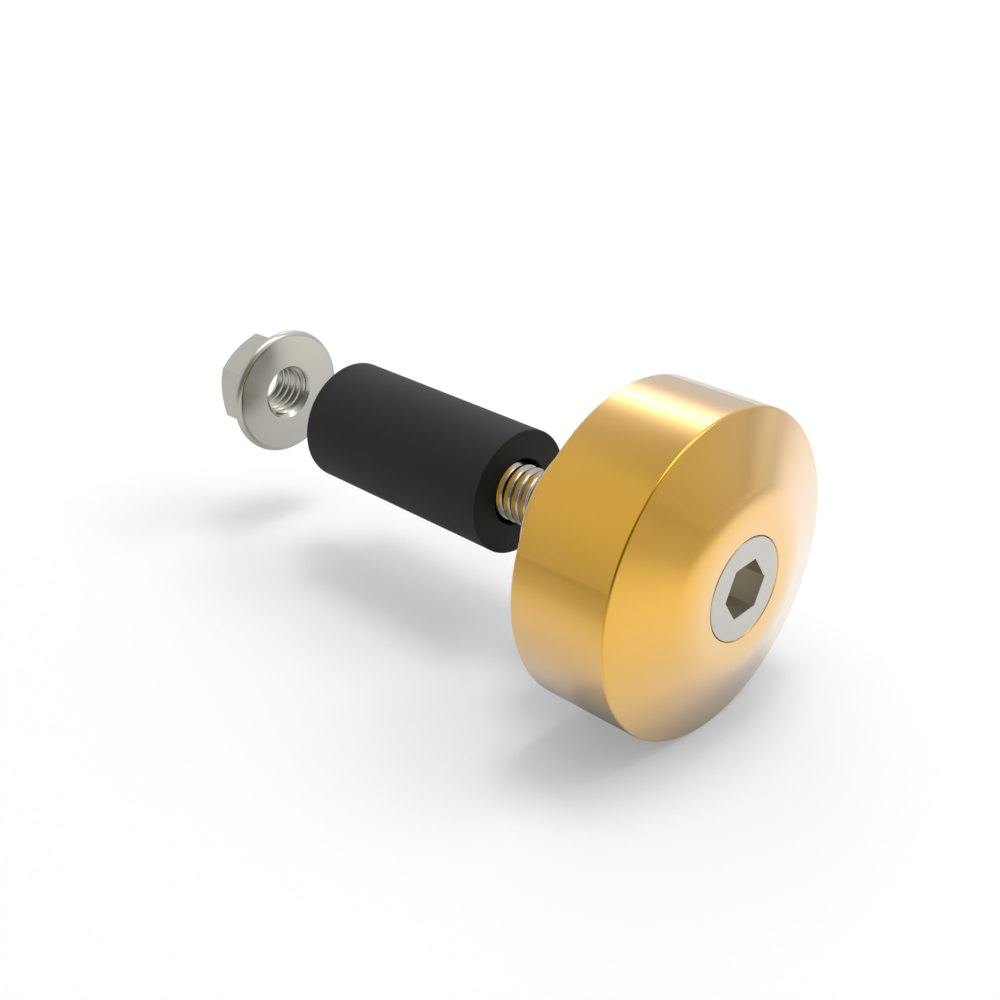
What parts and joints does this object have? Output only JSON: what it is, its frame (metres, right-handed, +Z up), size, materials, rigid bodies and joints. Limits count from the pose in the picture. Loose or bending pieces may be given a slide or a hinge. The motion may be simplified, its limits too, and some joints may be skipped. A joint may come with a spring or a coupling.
{
  "type": "bar end weight",
  "caption": "Aluminium handlebar end weight with a coned face and a spigot, held by a socket cap screw that squeezes a rubber sleeve with a flange nut; shown drawn apart along its axis.",
  "frame": {"origin": "on the axis, in the plane of the weight's flat back face, where it seats on the end of the bar", "axes": "+X along the axis out of the bar, towards the coned face and the screw's head; -X into the bar, towards the nut; +Z up, with one corner of the nut's hexagon upwards"},
  "size_m": [0.0695, 0.032, 0.032],
  "materials": {
    "anodised_weight": "bright gold anodised, polished",
    "plated_hardware": "satin nickel-plated steel",
    "sleeve_rubber": "matte black"
  },
  "bodies": {
    "weight": {"weight": "anodised_weight"},
    "screw": {"cap_screw": "plated_hardware"},
    "sleeve": {"rubber_sleeve": "sleeve_rubber"},
    "nut": {"flange_nut": "plated_hardware"}
  },
  "joints": [
    {"name": "nut_run", "type": "slide", "parent": "weight", "child": "nut", "axis": [1, 0, 0], "range_m": [0, 0.0183]},
    {"name": "screw_turn", "type": "hinge", "parent": "weight", "child": "screw", "pos_m": [0, 0, 0], "axis": [-1, 0, 0], "continuous": true},
    {"name": "sleeve_slide", "type": "slide", "parent": "weight", "child": "sleeve", "axis": [1, 0, 0], "range_m": [0, 0.0073]}
  ],
  "couplings": [
    {"joint": "screw_turn", "follows": "nut_run", "rad_per_m": 6283.2},
    {"joint": "sleeve_slide", "follows": "nut_run", "ratio": 0.3989}
  ]
}
